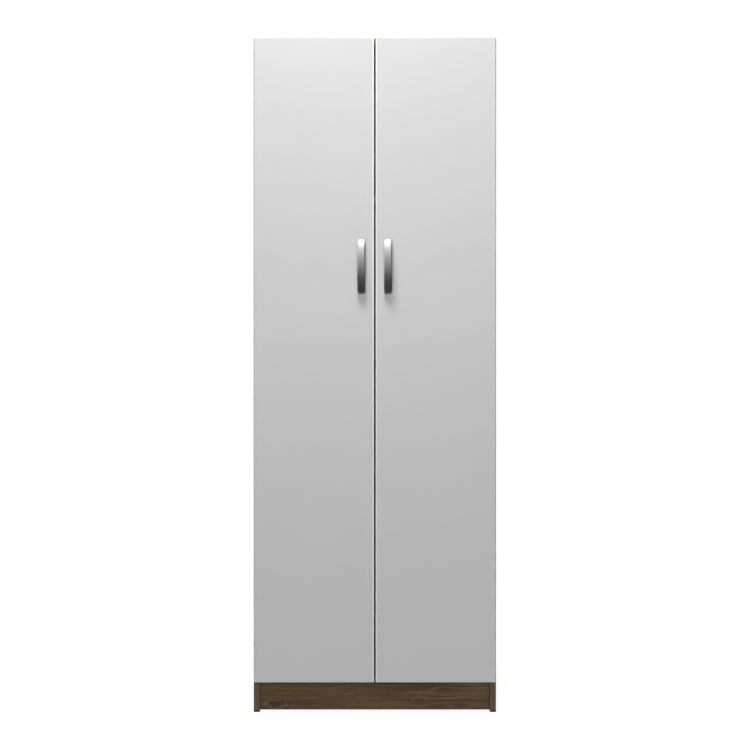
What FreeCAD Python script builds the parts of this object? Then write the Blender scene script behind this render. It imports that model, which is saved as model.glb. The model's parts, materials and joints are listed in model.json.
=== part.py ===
import FreeCAD
import Part
import Sketcher
import math
import os

# A two-door wardrobe, in millimetres. +Z is up, the doors face -Y, and the origin lies on the floor under
# the middle of the whole. Left-hand pieces are drawn, and right-hand pieces are their mirror images.

driving = {
    # Carcass boards
    "wardrobe_width": 650,
    "side_height": 1803,
    "carcass_depth": 480,
    "board_thickness": 16,
    "plinth_height": 78,
    "plinth_setback": 8,
    "hat_height": 300,
    "shelf_setback": 30,
    "shelf_play": 1,
    # Back boards and the strip that joins them
    "back_thickness": 3,
    "back_margin": 2,
    "joiner_height": 14,
    "joiner_web": 1.2,
    "joiner_lip": 0.8,
    "joiner_play": 1,
    # Doors
    "door_thickness": 16,
    "door_reveal": 3.5,
    "door_drop": 4,
    "door_lift": 3,
    "centre_gap": 4.5,
    "door_edge_radius": 1,
    "swing_clearance": 0.4,
    # Bow handles
    "handle_centre_height": 1193,
    "handle_offset": 35.5,
    "handle_length": 148,
    "handle_width": 22,
    "handle_rise": 28,
    "handle_thickness": 6,
    "handle_end_height": 3.5,
    "handle_foot": 18,
    "handle_hole_spacing": 128,
    "handle_corner_radius": 5.5,
    "handle_edge_radius": 2.5,
    # Hinge cups
    "hinge_inset": 100,
    "cup_margin": 3,
    "cup_radius": 17.5,
    "cup_depth": 12.4,
    "cup_wall": 0.9,
    "cup_lip": 1.2,
    "flange_thickness": 1.2,
    "flange_width": 18,
    "flange_length": 62,
    "flange_offset": 6,
    "cup_screw_spacing": 48,
    "ear_thickness": 2.7,
    "ear_reach": 3,
    # Hinge pins and arms
    "pin_radius": 1.25,
    "pin_clearance": 0.05,
    "knuckle_wall": 1.1,
    "knuckle_width": 8,
    "arm_thickness": 2,
    "arm_bend": 5,
    "arm_length": 62,
    "channel_start": 4,
    "channel_width": 14,
    "channel_wall": 1.2,
    "channel_depth": 5,
    # Hinge plates
    "plate_setback": 37,
    "plate_thickness": 2,
    "plate_wing": 54,
    "plate_width": 16,
    "plate_corner": 3,
    "plate_hole_spacing": 32,
    "rail_block_length": 40,
    "arm_screw_offset": 13,
    # Hanging rail and its sockets
    "rail_drop": 60,
    "rail_height": 30,
    "rail_width": 15,
    "rail_wall": 1,
    "rail_play": 0.5,
    "socket_plate": 2.5,
    "socket_height": 64,
    "socket_width": 21,
    "socket_depth": 12,
    "socket_wall": 2,
    "socket_screw_spacing": 50,
    # Shelf pins
    "shelf_pin_radius": 2.5,
    "shelf_pin_sunk": 9,
    "shelf_pin_out": 10,
    "shelf_pin_inset": 50,
    # Corner fittings
    "cam_inset": 60,
    "cam_distance": 34,
    "cam_radius": 7.5,
    "cam_height": 12.5,
    "cam_slot_length": 9,
    "cam_slot_width": 1.6,
    "cam_slot_depth": 2,
    "bolt_radius": 3,
    "bolt_thread_radius": 3.5,
    "bolt_sunk": 11,
    "bolt_tip": 2,
    "dowel_radius": 4,
    "dowel_sunk": 11,
    "dowel_out": 19,
    "dowel_spacing": 32,
    "plinth_dowel_place": 200,
    # Nails of the back
    "nail_radius": 0.7,
    "nail_length": 20,
    "nail_head_radius": 1.8,
    "nail_head_height": 0.6,
    "nail_end_distance": 40,
    "nail_row_spacing": 120,
    # Screws
    "screw_head_height": 2.2,
    "plate_screw_head": 4.2,
    "plate_screw_radius": 2.5,
    "plate_screw_length": 13,
    "arm_screw_head": 4.2,
    "arm_screw_radius": 2.4,
    "arm_screw_length": 8,
    "cup_screw_head": 3.5,
    "cup_screw_radius": 1.75,
    "cup_screw_length": 12,
    "socket_screw_head": 3.5,
    "socket_screw_radius": 1.75,
    "socket_screw_length": 14,
    "handle_screw_head": 4,
    "handle_screw_radius": 2,
    "handle_screw_grip": 6,
    # Small plastic pieces
    "glide_height": 4,
    "glide_length": 30,
    "glide_pin_radius": 1.5,
    "glide_pin_length": 12,
    "buffer_radius": 4,
    "buffer_inset": 12,
    # Clearances
    "fit_clearance": 0.1,
    "run_clearance": 0.3,
}
nails_per_side = 12
nail_rows = (1, 2)

doc = FreeCAD.newDocument("Wardrobe")
sheet = doc.addObject("Spreadsheet::Sheet", "Sizes")
planes = doc.addObject("App::VarSet", "Planes")


class Size:
    """A number with its formula, so that arithmetic on sizes also writes the expression."""

    def __init__(self, value, text):
        self.value = value
        self.text = text

    def __add__(self, other):
        other = size_of(other)
        return Size(self.value + other.value, f"({self.text} + {other.text})")

    def __radd__(self, other):
        return size_of(other) + self

    def __sub__(self, other):
        other = size_of(other)
        return Size(self.value - other.value, f"({self.text} - {other.text})")

    def __rsub__(self, other):
        return size_of(other) - self

    def __mul__(self, other):
        other = size_of(other)
        return Size(self.value * other.value, f"({self.text} * {other.text})")

    def __rmul__(self, other):
        return size_of(other) * self

    def __truediv__(self, other):
        other = size_of(other)
        return Size(self.value / other.value, f"({self.text} / {other.text})")

    def __neg__(self):
        return Size(-self.value, f"(0 - {self.text})")

    def root(self):
        return Size(math.sqrt(self.value), f"sqrt({self.text})")


def size_of(number):
    if isinstance(number, Size):
        return number
    return Size(number, f"{number}")


class Dimensions:
    """The cells of the sheet, each one read by its alias."""

    def __init__(self, values):
        for row, (alias, value) in enumerate(values.items(), 1):
            sheet.set(f"A{row}", alias)
            sheet.set(f"B{row}", f"{value}")
            sheet.setAlias(f"B{row}", alias)
            setattr(self, alias, Size(value, f"Sizes.{alias}"))


def shared(name, size):
    """A plane or line that several pieces share, kept as a property with its formula."""
    planes.addProperty("App::PropertyFloat", name)
    planes.setExpression(name, size.text)
    return Size(size.value, f"Planes.{name}")


dim = Dimensions(driving)
doc.recompute()

# Planes across the width, seen from the front
half_width = shared("half_width", dim.wardrobe_width / 2)
inner_half = shared("inner_half", half_width - dim.board_thickness)

# Heights
carcass_top = shared("carcass_top", dim.glide_height + dim.side_height)
top_under = shared("top_under", carcass_top - dim.board_thickness)
plinth_top = shared("plinth_top", dim.glide_height + dim.plinth_height)
floor_top = shared("floor_top", plinth_top + dim.board_thickness)
shelf_top = shared("shelf_top", top_under - dim.hat_height)
shelf_under = shared("shelf_under", shelf_top - dim.board_thickness)
rail_level = shared("rail_level", shelf_under - dim.rail_drop)
back_joint = shared("back_joint", (plinth_top + carcass_top) / 2)
door_bottom = shared("door_bottom", plinth_top + dim.door_lift)
door_top = shared("door_top", carcass_top - dim.door_drop)
hinge_levels = (
    shared("hinge_low", door_bottom + dim.hinge_inset),
    shared("hinge_middle", (door_bottom + door_top) / 2),
    shared("hinge_high", door_top - dim.hinge_inset),
)

# The hinge seen from above: distances inward from the carcass side, and back from the door's front face
cup_outer = dim.cup_radius - dim.fit_clearance
cup_inner = cup_outer - dim.cup_wall
knuckle_radius = dim.pin_radius + dim.pin_clearance + dim.knuckle_wall
knuckle_half = dim.knuckle_width / 2
cup_inward = dim.door_reveal + dim.cup_margin + dim.cup_radius
wall_inward = cup_inward - (cup_inner * cup_inner - knuckle_half * knuckle_half).root()
pin_inward = wall_inward + dim.run_clearance + knuckle_radius
floor_back = dim.door_thickness - dim.cup_depth + dim.cup_wall
pin_back = floor_back + dim.run_clearance + knuckle_radius

# The door's rear corner swings round the pin, which sets the gap between door and carcass
corner_inward = pin_inward - dim.door_reveal
corner_back = dim.door_thickness - pin_back
corner_swing = (corner_inward * corner_inward + corner_back * corner_back).root()
door_gap = shared("door_gap", corner_swing - corner_back + dim.swing_clearance)

# Planes from front to back
whole_depth = (dim.handle_rise + dim.door_thickness + door_gap + dim.carcass_depth
               + dim.back_thickness + dim.joiner_lip)
door_front = shared("door_front", dim.handle_rise - whole_depth / 2)
door_back = shared("door_back", door_front + dim.door_thickness)
carcass_front = shared("carcass_front", door_back + door_gap)
carcass_rear = shared("carcass_rear", carcass_front + dim.carcass_depth)
back_rear = shared("back_rear", carcass_rear + dim.back_thickness)

# Axes of the left-hand hinges
cup_x = shared("cup_x", cup_inward - half_width)
pin_x = shared("pin_x", pin_inward - half_width)
pin_y = shared("pin_y", door_front + pin_back)

turned = {
    "x": FreeCAD.Rotation(FreeCAD.Vector(0, 1, 0), 90),
    "y": FreeCAD.Rotation(FreeCAD.Vector(1, 0, 0), -90),
    "z": FreeCAD.Rotation(),
}
subparts = []
bores = {}
fasteners = {}


def bind(item, **sizes):
    for name, size in sizes.items():
        item.setExpression(name, size_of(size).text)


def place(item, x, y, z):
    for axis, size in zip("xyz", (x, y, z)):
        item.setExpression(f"Placement.Base.{axis}", size_of(size).text)


def box(name, x, y, z):
    """A block between two planes on each axis."""
    item = doc.addObject("Part::Box", name)
    bind(item, Length=x[1] - x[0], Width=y[1] - y[0], Height=z[1] - z[0])
    place(item, x[0], y[0], z[0])
    return item


def rod(name, axis, radius, span, across):
    """A cylinder along an axis, between two planes; across holds its other two coordinates."""
    item = doc.addObject("Part::Cylinder", name)
    item.Placement = FreeCAD.Placement(FreeCAD.Vector(), turned[axis])
    bind(item, Radius=radius, Height=span[1] - span[0])
    point = dict(zip([letter for letter in "xyz" if letter != axis], across))
    point[axis] = span[0]
    place(item, point["x"], point["y"], point["z"])
    return item


def join(name, pieces):
    item = doc.addObject("Part::MultiFuse", name)
    item.Shapes = pieces
    return item


def group(name, pieces):
    item = doc.addObject("Part::Compound", name)
    item.Links = pieces
    return item


def cut(name, base, tools):
    item = doc.addObject("Part::Cut", name)
    item.Base = base
    item.Tool = group(f"{name}_tools", tools)
    return item


def mirrored(name, piece):
    item = doc.addObject("Part::Mirroring", name)
    item.Source = piece
    item.Normal = FreeCAD.Vector(1, 0, 0)
    return item


def subpart(label, item):
    item.Label = label
    subparts.append(item)
    return item


def pair(label, item):
    """A left-hand sub-part and its mirror image on the right."""
    subpart(f"{label}_left", item)
    subpart(f"{label}_right", mirrored(f"{label}_mirrored", item))


def bore(board, axis, radius, span, across):
    bores.setdefault(board, []).append(rod(f"{board}_bore", axis, radius, span, across))


def fastener(label, piece):
    fasteners.setdefault(label, []).append(piece)


def from_seat(seat, towards, length):
    """The span that leaves a seat in the direction towards, which is 1 or -1."""
    if towards > 0:
        return seat, seat + length
    return seat - length, seat


def screw(label, axis, seat, towards, across, head, radius, length, head_height=dim.screw_head_height):
    cap = rod(f"{label}_head", axis, head, from_seat(seat, -towards, head_height), across)
    shank = rod(f"{label}_shank", axis, radius, from_seat(seat, towards, length), across)
    fastener(label, join(f"{label}_piece", [cap, shank]))


def drilled(board, raw, both_ends):
    """A board with its bores; both_ends repeats the left-hand bores on the right."""
    tools = bores[board]
    if both_ends:
        left = group(f"{board}_bores_left", tools)
        tools = [left, mirrored(f"{board}_bores_right", left)]
    return cut(f"{board}_drilled", raw, tools)


def new_body(name, x, y, z):
    body = doc.addObject("PartDesign::Body", name)
    place(body, x, y, z)
    return body


def new_sketch(body, role):
    sketch = body.newObject("Sketcher::SketchObject", f"{body.Name}_sketch")
    plane = [item for item in body.Origin.OriginFeatures if item.Role == role][0]
    sketch.AttachmentSupport = [(plane, "")]
    sketch.MapMode = "FlatFace"
    return sketch


def fix_point(sketch, edge, end, x, y):
    for kind, size in (("DistanceX", size_of(x)), ("DistanceY", size_of(y))):
        index = sketch.addConstraint(Sketcher.Constraint(kind, -1, 1, edge, end, size.value))
        sketch.setExpression(f"Constraints[{index}]", size.text)


def fix_radius(sketch, edge, radius):
    index = sketch.addConstraint(Sketcher.Constraint("Radius", edge, radius.value))
    sketch.setExpression(f"Constraints[{index}]", radius.text)


def draw_circle(sketch, x, y, radius):
    centre = FreeCAD.Vector(size_of(x).value, size_of(y).value, 0)
    edge = sketch.addGeometry(Part.Circle(centre, FreeCAD.Vector(0, 0, 1), radius.value))
    fix_point(sketch, edge, 3, x, y)
    fix_radius(sketch, edge, radius)


def arc_between(start, end, radius, outward):
    """The short arc between two points; outward arcs bulge to the right of the way along."""
    chord = end - start
    aside = FreeCAD.Vector(chord.y, -chord.x, 0).normalize()
    rise = radius - math.sqrt(radius * radius - chord.Length * chord.Length / 4)
    middle = (start + end) * 0.5 + aside * (rise if outward else -rise)
    return Part.Arc(start, middle, end)


def draw_outline(sketch, corners):
    """A closed outline. A corner (x, y, radius, outward) is followed by an arc, a corner (x, y) by a line."""
    points = [FreeCAD.Vector(size_of(corner[0]).value, size_of(corner[1]).value, 0) for corner in corners]
    edges = []
    for number, corner in enumerate(corners):
        start = points[number]
        end = points[(number + 1) % len(points)]
        if len(corner) > 2:
            edge = sketch.addGeometry(arc_between(start, end, corner[2].value, corner[3]))
            drawn_start = sketch.getPoint(edge, 1)
            flipped = drawn_start.distanceToPoint(start) > drawn_start.distanceToPoint(end)
        else:
            edge = sketch.addGeometry(Part.LineSegment(start, end))
            flipped = False
        edges.append((edge, 2, 1) if flipped else (edge, 1, 2))
    for number, (edge, first, last) in enumerate(edges):
        following, its_first = edges[(number + 1) % len(edges)][:2]
        sketch.addConstraint(Sketcher.Constraint("Coincident", edge, last, following, its_first))
        fix_point(sketch, edge, first, corners[number][0], corners[number][1])
        if len(corners[number]) > 2:
            fix_radius(sketch, edge, corners[number][2])


def rectangle(x, y):
    return [(x[0], y[0]), (x[1], y[0]), (x[1], y[1]), (x[0], y[1])]


def rounded_rectangle(half_x, half_y, radius):
    return [
        (radius - half_x, -half_y), (half_x - radius, -half_y, radius, True),
        (half_x, radius - half_y), (half_x, half_y - radius, radius, True),
        (half_x - radius, half_y), (radius - half_x, half_y, radius, True),
        (-half_x, half_y - radius), (-half_x, radius - half_y, radius, True),
    ]


def upright_oval(width, height):
    """A tube section with round ends, drawn as two sides and four quarter circles."""
    radius = width / 2
    straight = height / 2 - radius
    return [
        (radius, -straight), (radius, straight, radius, True), (0, height / 2, radius, True),
        (-radius, straight), (-radius, -straight, radius, True), (0, -height / 2, radius, True),
    ]


def feature(body, kind, sketch, side="One side", reverse=False, **sizes):
    """A pad or a pocket of a sketch."""
    item = body.newObject(f"PartDesign::{kind}", f"{body.Name}_{kind}")
    item.Profile = sketch
    item.SideType = side
    item.Reversed = reverse
    bind(item, **sizes)
    return item


def through_cut(body, sketch):
    item = feature(body, "Pocket", sketch, side="Symmetric")
    item.Type = "ThroughAll"
    return item


def fillet(body, base, radius, wanted):
    """Round the wanted edges of a feature."""
    doc.recompute()
    names = [f"Edge{number}" for number, edge in enumerate(base.Shape.Edges, 1) if wanted(edge)]
    item = body.newObject("PartDesign::Fillet", f"{body.Name}_fillet")
    item.Base = (base, names)
    bind(item, Radius=radius)
    return item


def near(first, second):
    return abs(first - second) < 1e-4


# Carcass boards
across = (-inner_half, inner_half)
front_to_rear = (carcass_front, carcass_rear)
plinth_face = carcass_front + dim.plinth_setback
plinth_rear = plinth_face + dim.board_thickness
shelf_half = inner_half - dim.shelf_play
shelf_front = carcass_front + dim.shelf_setback
back_half = half_width - dim.back_margin
back_across = (-back_half, back_half)
back_span = (carcass_rear, back_rear)
web_half = dim.joiner_web / 2
lower_back = (plinth_top + dim.back_margin, back_joint - web_half)
upper_back = (back_joint + web_half, carcass_top - dim.back_margin)
boards = {
    "side_panel_left": ((-half_width, -inner_half), front_to_rear, (dim.glide_height, carcass_top)),
    "top_panel": (across, front_to_rear, (top_under, carcass_top)),
    "bottom_panel": (across, front_to_rear, (plinth_top, floor_top)),
    "plinth_board": (across, (plinth_face, plinth_rear), (dim.glide_height, plinth_top)),
    "hat_shelf": ((-shelf_half, shelf_half), (shelf_front, carcass_rear), (shelf_under, shelf_top)),
    "back_panel_lower": (back_across, back_span, lower_back),
    "back_panel_upper": (back_across, back_span, upper_back),
}

# The strip that joins the back boards: an H section, its lips over both faces of the boards
joiner = new_body("joiner", 0, carcass_rear, back_joint)
joiner_sketch = new_sketch(joiner, "YZ_Plane")
lip_front = -dim.joiner_lip
lip_rear = dim.back_thickness + dim.joiner_lip
joiner_half = dim.joiner_height / 2
draw_outline(joiner_sketch, [
    (lip_front, -joiner_half), (0, -joiner_half), (0, -web_half), (dim.back_thickness, -web_half),
    (dim.back_thickness, -joiner_half), (lip_rear, -joiner_half), (lip_rear, joiner_half),
    (dim.back_thickness, joiner_half), (dim.back_thickness, web_half), (0, web_half),
    (0, joiner_half), (lip_front, joiner_half),
])
feature(joiner, "Pad", joiner_sketch, side="Symmetric", Length=2 * (inner_half - dim.joiner_play))
subpart("back_joiner_strip", joiner)

# Shelf pins under the hat shelf
for y in (shelf_front + dim.shelf_pin_inset, carcass_rear - dim.shelf_pin_inset):
    level = shelf_under - dim.shelf_pin_radius
    span = (-inner_half - dim.shelf_pin_sunk, dim.shelf_pin_out - inner_half)
    fastener("shelf_pins", rod("shelf_pin", "x", dim.shelf_pin_radius, span, (y, level)))
    bore("side_panel_left", "x", dim.shelf_pin_radius + dim.fit_clearance,
         (span[0] - dim.fit_clearance, -inner_half), (y, level))

# Hanging rail, an oval tube between two sockets
rail_y = carcass_front + dim.carcass_depth / 2
rail = new_body("rail", 0, rail_y, rail_level)
rail_sketch = new_sketch(rail, "YZ_Plane")
both_walls = 2 * dim.rail_wall
rail_half = inner_half - dim.socket_plate - dim.rail_play
draw_outline(rail_sketch, upright_oval(dim.rail_width, dim.rail_height))
draw_outline(rail_sketch, upright_oval(dim.rail_width - both_walls, dim.rail_height - both_walls))
feature(rail, "Pad", rail_sketch, side="Symmetric", Length=2 * rail_half)
subpart("hanging_rail", rail)

socket = new_body("socket", -inner_half, rail_y, rail_level)
socket_sketch = new_sketch(socket, "YZ_Plane")
socket_hole = dim.socket_screw_radius + dim.fit_clearance
draw_outline(socket_sketch, upright_oval(dim.socket_width, dim.socket_height))
for side in (-1, 1):
    draw_circle(socket_sketch, 0, side * dim.socket_screw_spacing / 2, socket_hole)
feature(socket, "Pad", socket_sketch, Length=dim.socket_plate)
collar_sketch = new_sketch(socket, "YZ_Plane")
collar_width = dim.rail_width + 2 * dim.fit_clearance
collar_height = dim.rail_height + 2 * dim.fit_clearance
both_walls = 2 * dim.socket_wall
draw_outline(collar_sketch, upright_oval(collar_width + both_walls, collar_height + both_walls))
draw_outline(collar_sketch, upright_oval(collar_width, collar_height))
feature(socket, "Pad", collar_sketch, Length=dim.socket_plate + dim.socket_depth)
pair("rail_socket", socket)
for side in (-1, 1):
    level = rail_level + side * dim.socket_screw_spacing / 2
    screw("rail_socket_screws", "x", dim.socket_plate - inner_half, -1, (rail_y, level),
          dim.socket_screw_head, dim.socket_screw_radius, dim.socket_screw_length)
    depth = dim.socket_screw_length - dim.socket_plate + dim.fit_clearance
    bore("side_panel_left", "x", socket_hole, (-inner_half - depth, -inner_half), (rail_y, level))

# Cams, cam bolts and dowels that join boards to the sides
cam_x = dim.cam_distance - inner_half
bolt_end = cam_x + dim.bolt_tip
bolt_hole = dim.bolt_thread_radius + dim.fit_clearance
dowel_hole = dim.dowel_radius + dim.fit_clearance


def cam_disc(board, under, y):
    """A disc let into the underside of a board, with a mouth for the bolt and a slot for a screwdriver."""
    top = under + dim.cam_height
    slot_half = dim.cam_slot_width / 2
    slot_x = (cam_x - dim.cam_slot_length / 2, cam_x + dim.cam_slot_length / 2)
    mouth_span = (cam_x - dim.cam_radius, bolt_end + dim.fit_clearance)
    barrel = rod("cam_barrel", "z", dim.cam_radius - dim.fit_clearance, (under, top), (cam_x, y))
    mouth = rod("cam_mouth", "x", bolt_hole, mouth_span, (y, under + dim.board_thickness / 2))
    slot = box("cam_slot", slot_x, (y - slot_half, y + slot_half), (under, under + dim.cam_slot_depth))
    fastener("cam_discs", cut("cam_disc", barrel, [mouth, slot]))
    bore(board, "z", dim.cam_radius, (under, top + dim.fit_clearance), (cam_x, y))


def cam_bolt(board, y, level):
    """A bolt screwed into the side panel, whose shank runs into the disc."""
    sunk = -inner_half - dim.bolt_sunk
    thread = rod("bolt_thread", "x", dim.bolt_thread_radius, (sunk, -inner_half), (y, level))
    shank = rod("bolt_shank", "x", dim.bolt_radius, (-inner_half, bolt_end), (y, level))
    fastener("cam_bolts", join("cam_bolt", [thread, shank]))
    bore("side_panel_left", "x", bolt_hole, (sunk - dim.fit_clearance, -inner_half), (y, level))
    bore(board, "x", bolt_hole, (-inner_half, cam_x), (y, level))


def dowel(board, y, level):
    """A dowel half in the side panel and half in the end of a board."""
    span = (-inner_half - dim.dowel_sunk, dim.dowel_out - inner_half)
    fastener("wood_dowels", rod("dowel", "x", dim.dowel_radius, span, (y, level)))
    bore("side_panel_left", "x", dowel_hole, (span[0] - dim.fit_clearance, -inner_half), (y, level))
    bore(board, "x", dowel_hole, (-inner_half, span[1] + dim.fit_clearance), (y, level))


for board, under in (("top_panel", top_under), ("bottom_panel", plinth_top)):
    middle = under + dim.board_thickness / 2
    for y, inward in ((carcass_front + dim.cam_inset, 1), (carcass_rear - dim.cam_inset, -1)):
        cam_disc(board, under, y)
        cam_bolt(board, y, middle)
        dowel(board, y + inward * dim.dowel_spacing, middle)

# Dowels of the plinth: two in each end, and one up into the bottom panel on each side
plinth_y = plinth_face + dim.board_thickness / 2
for side in (-1, 1):
    dowel("plinth_board", plinth_y, dim.glide_height + dim.plinth_height / 2 + side * dim.dowel_spacing / 2)
upright = (-dim.plinth_dowel_place, plinth_y)
upright_span = (plinth_top - dim.dowel_out, plinth_top + dim.dowel_sunk)
fastener("wood_dowels", rod("dowel", "z", dim.dowel_radius, upright_span, upright))
bore("plinth_board", "z", dowel_hole, (upright_span[0] - dim.fit_clearance, plinth_top), upright)
bore("bottom_panel", "z", dowel_hole, (plinth_top, upright_span[1] + dim.fit_clearance), upright)


def nail(board, back_board, x, level):
    """A nail from behind, through a back board and into the rear edge of a carcass board."""
    screw("back_nails", "y", back_rear, -1, (x, level),
          dim.nail_head_radius, dim.nail_radius, dim.nail_length, dim.nail_head_height)
    hole = dim.nail_radius + dim.fit_clearance
    bore(back_board, "y", hole, back_span, (x, level))
    bore(board, "y", hole, (back_rear - dim.nail_length - dim.fit_clearance, carcass_rear), (x, level))


# Nails down each side and along the top and bottom of the back
board_half = dim.board_thickness / 2
lowest_nail = plinth_top + dim.nail_end_distance
nail_step = (carcass_top - dim.nail_end_distance - lowest_nail) / (nails_per_side - 1)
for number in range(nails_per_side):
    back_board = "back_panel_lower" if number < nails_per_side / 2 else "back_panel_upper"
    nail("side_panel_left", back_board, board_half - half_width, lowest_nail + number * nail_step)
for row in nail_rows:
    nail("bottom_panel", "back_panel_lower", -row * dim.nail_row_spacing, plinth_top + board_half)
    nail("top_panel", "back_panel_upper", -row * dim.nail_row_spacing, top_under + board_half)

# Glides under the side panels, each with a pin up into the board
for y in ((carcass_front, carcass_front + dim.glide_length), (carcass_rear - dim.glide_length, carcass_rear)):
    pad = box("glide_pad", (-half_width, -inner_half), y, (size_of(0), dim.glide_height))
    spot = (board_half - half_width, (y[0] + y[1]) / 2)
    pin_top = dim.glide_height + dim.glide_pin_length
    pin = rod("glide_pin", "z", dim.glide_pin_radius, (dim.glide_height, pin_top), spot)
    fastener("foot_glides", join("glide", [pad, pin]))
    bore("side_panel_left", "z", dim.glide_pin_radius + dim.fit_clearance,
         (dim.glide_height, pin_top + dim.fit_clearance), spot)


def hinge_cup(place_name, level):
    """A cup let into the door, with a flange on the door's rear face and two ears that hold the pin."""
    cup_bottom = door_back - dim.cup_depth
    rim = door_back + dim.flange_thickness
    centre = (cup_x, level)
    barrel = rod("cup_barrel", "y", cup_outer, (cup_bottom, door_back), centre)
    lip = rod("cup_lip", "y", dim.cup_radius + dim.cup_lip, (door_back, rim), centre)
    flange_x = cup_x + dim.flange_offset
    flange_span = (flange_x - dim.flange_width / 2, flange_x + dim.flange_width / 2)
    flange_levels = (level - dim.flange_length / 2, level + dim.flange_length / 2)
    flange = box("cup_flange", flange_span, (door_back, rim), flange_levels)
    hollow = rod("cup_hollow", "y", cup_inner, (cup_bottom + dim.cup_wall, rim), centre)
    screw_levels = [level + side * dim.cup_screw_spacing / 2 for side in (-1, 1)]
    hole = dim.cup_screw_radius + dim.fit_clearance
    holes = [rod("cup_screw_hole", "y", hole, (door_back, rim), (flange_x, spot)) for spot in screw_levels]
    shell = cut("cup_shell", join("cup_solid", [barrel, lip, flange]), [hollow] + holes)
    ear_near = knuckle_half + dim.run_clearance
    ear_far = ear_near + dim.ear_thickness
    wall_middle = cup_outer - dim.cup_wall / 2
    ear_x = (cup_x - (wall_middle * wall_middle - ear_far * ear_far).root(), pin_x + dim.ear_reach)
    ear_y = (cup_bottom + dim.cup_wall / 2, pin_y + dim.ear_reach)
    ears = [
        box("cup_ear", ear_x, ear_y, (level - ear_far, level - ear_near)),
        box("cup_ear", ear_x, ear_y, (level + ear_near, level + ear_far)),
    ]
    pin_span = (level - ear_far, level + ear_far)
    pin_hole = rod("cup_pin_hole", "z", dim.pin_radius + dim.pin_clearance, pin_span, (pin_x, pin_y))
    pair(f"hinge_cup_{place_name}", cut("cup", join("cup_with_ears", [shell] + ears), [pin_hole]))
    fastener("hinge_pins", rod("hinge_pin", "z", dim.pin_radius, pin_span, (pin_x, pin_y)))
    bore("door", "y", dim.cup_radius, (cup_bottom - dim.fit_clearance, door_back), centre)
    for spot in screw_levels:
        screw("cup_screws", "y", rim, -1, (flange_x, spot),
              dim.cup_screw_head, dim.cup_screw_radius, dim.cup_screw_length)
        depth = dim.cup_screw_length - dim.flange_thickness + dim.fit_clearance
        bore("door", "y", hole, (door_back - depth, door_back), (flange_x, spot))


# The arm seen from above, measured from the pin: it runs inward through the cup, then back over the plate
arm_near = cup_inward - pin_inward
arm_far = arm_near + dim.arm_thickness
to_carcass = carcass_front - pin_y
arm_tail = to_carcass + dim.arm_length
channel_front = to_carcass + dim.channel_start
arm_screw_back = dim.plate_setback + dim.arm_screw_offset


def hinge_arm(place_name, level):
    """A cranked arm: an eye round the pin, a strip out of the cup, and a channel that sits on the plate."""
    arm = new_body("arm", pin_x, pin_y, level)
    strip = new_sketch(arm, "XY_Plane")
    turn = arm_far - dim.arm_bend
    front = -knuckle_radius
    draw_outline(strip, [
        (0, front), (turn, front, dim.arm_bend, True),
        (arm_far, front + dim.arm_bend), (arm_far, channel_front), (arm_near, channel_front),
        (arm_near, front + dim.arm_bend, dim.arm_bend - dim.arm_thickness, False),
        (turn, front + dim.arm_thickness), (0, front + dim.arm_thickness),
    ])
    feature(arm, "Pad", strip, side="Symmetric", Length=dim.knuckle_width)
    eye = new_sketch(arm, "XY_Plane")
    draw_circle(eye, 0, 0, knuckle_radius)
    feature(arm, "Pad", eye, side="Symmetric", Length=dim.knuckle_width)
    channel = new_sketch(arm, "XY_Plane")
    draw_outline(channel, rectangle((arm_near - dim.channel_depth, arm_far), (channel_front, arm_tail)))
    feature(arm, "Pad", channel, side="Symmetric", Length=dim.channel_width)
    inside = new_sketch(arm, "XY_Plane")
    draw_outline(inside, rectangle((arm_near - dim.channel_depth, arm_near), (channel_front, arm_tail)))
    feature(arm, "Pocket", inside, side="Symmetric", Length=dim.channel_width - 2 * dim.channel_wall)
    eye_hole = new_sketch(arm, "XY_Plane")
    draw_circle(eye_hole, 0, 0, dim.pin_radius + dim.pin_clearance)
    through_cut(arm, eye_hole)
    screw_hole = new_sketch(arm, "YZ_Plane")
    draw_circle(screw_hole, to_carcass + arm_screw_back, 0, dim.arm_screw_radius + dim.fit_clearance)
    through_cut(arm, screw_hole)
    pair(f"hinge_arm_{place_name}", arm)


def hinge_plate(place_name, level):
    """A winged plate on the side panel, with a block that carries the arm, and the screws of both."""
    plate_y = carcass_front + dim.plate_setback
    block_height = cup_inward - dim.board_thickness
    plate = new_body("plate", -inner_half, plate_y, level)
    wings = new_sketch(plate, "YZ_Plane")
    draw_outline(wings, rounded_rectangle(dim.plate_width / 2, dim.plate_wing / 2, dim.plate_corner))
    hole = dim.plate_screw_radius + dim.fit_clearance
    for side in (-1, 1):
        draw_circle(wings, 0, side * dim.plate_hole_spacing / 2, hole)
    feature(plate, "Pad", wings, Length=dim.plate_thickness)
    block = new_sketch(plate, "YZ_Plane")
    block_half = dim.channel_width / 2 - dim.channel_wall - dim.fit_clearance
    block_front = -dim.rail_block_length / 2
    draw_outline(block, rectangle((block_front, dim.rail_block_length / 2), (-block_half, block_half)))
    feature(plate, "Pad", block, Length=block_height)
    thread = new_sketch(plate, "YZ_Plane")
    draw_circle(thread, dim.arm_screw_offset, 0, dim.arm_screw_radius + dim.fit_clearance)
    through_cut(plate, thread)
    pair(f"hinge_plate_{place_name}", plate)
    screw("arm_screws", "x", pin_x + arm_far, -1, (plate_y + dim.arm_screw_offset, level),
          dim.arm_screw_head, dim.arm_screw_radius, dim.arm_screw_length)
    for side in (-1, 1):
        spot = (plate_y, level + side * dim.plate_hole_spacing / 2)
        screw("plate_screws", "x", dim.plate_thickness - inner_half, -1, spot,
              dim.plate_screw_head, dim.plate_screw_radius, dim.plate_screw_length)
        depth = dim.plate_screw_length - dim.plate_thickness + dim.fit_clearance
        bore("side_panel_left", "x", hole, (-inner_half - depth, -inner_half), spot)


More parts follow.
